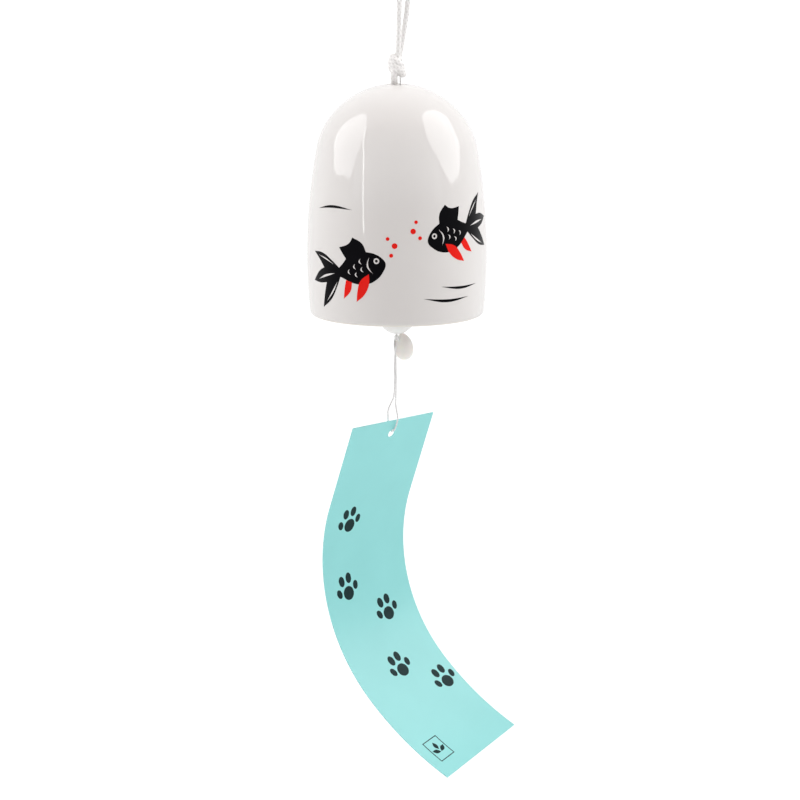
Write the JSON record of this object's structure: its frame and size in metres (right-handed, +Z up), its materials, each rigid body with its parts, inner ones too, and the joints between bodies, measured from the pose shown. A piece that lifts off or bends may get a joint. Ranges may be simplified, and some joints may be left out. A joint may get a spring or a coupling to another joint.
{
  "type": "furin wind bell",
  "caption": "Porcelain wind bell on a knotted cord, with a ball clapper on a thread and a curled paper strip that catches the wind.",
  "frame": {"origin": "inside top of the hanging loop, where a hook or nail bears", "axes": "+Z up along the hanging direction, +X to the right of someone facing the bell, +Y away from that person"},
  "size_m": [0.0728, 0.062, 0.2779],
  "materials": {
    "braided_cord": "white braided polyester cord",
    "white_thread": "white twisted thread",
    "bead_plastic": "moulded white plastic, satin",
    "white_porcelain": "white porcelain under a clear gloss glaze",
    "strip_paper": "smooth turquoise coated paper"
  },
  "bodies": {
    "hanger": {"hanging_cord": "braided_cord"},
    "knot": {"crown_knot": "braided_cord"},
    "bell": {"neck_cord": "braided_cord", "neck_thread": "white_thread", "stop_bead": "bead_plastic", "bell_shell": "white_porcelain"},
    "line_swivel": {"line_knot": "white_thread"},
    "clapper": {"clapper_line": "white_thread", "clapper": "white_porcelain"},
    "tail_swivel": {"tail_knot": "white_thread"},
    "tail": {"toggle_bead": "bead_plastic", "strip_thread": "white_thread"},
    "strip": {"paper_strip": "strip_paper"}
  },
  "joints": [
    {"name": "bell_turn", "type": "hinge", "parent": "hanger", "child": "knot", "pos_m": [-0.003, 0, -0.0322], "axis": [0, 0, 1], "range_deg": [-180, 180]},
    {"name": "bell_swing", "type": "hinge", "parent": "knot", "child": "bell", "pos_m": [-0.003, 0, -0.0322], "axis": [0, 1, 0], "range_deg": [-15, 15]},
    {"name": "clapper_turn", "type": "hinge", "parent": "bell", "child": "line_swivel", "pos_m": [-0.003, 0, -0.04995], "axis": [0, 0, 1], "continuous": true},
    {"name": "clapper_swing", "type": "hinge", "parent": "line_swivel", "child": "clapper", "pos_m": [-0.003, 0, -0.04995], "axis": [0, 1, 0], "range_deg": [-17.4, 17.4]},
    {"name": "tail_turn", "type": "hinge", "parent": "clapper", "child": "tail_swivel", "pos_m": [-0.003, 0, -0.12605], "axis": [0, 0, 1], "continuous": true},
    {"name": "tail_swing", "type": "hinge", "parent": "tail_swivel", "child": "tail", "pos_m": [-0.003, 0, -0.12605], "axis": [0, 1, 0], "range_deg": [-20, 20]},
    {"name": "strip_rock", "type": "hinge", "parent": "tail", "child": "strip", "pos_m": [-0.0049, 0.0002, -0.159], "axis": [0.6715, -0.6486, -0.3584], "range_deg": [-30, 30]}
  ]
}
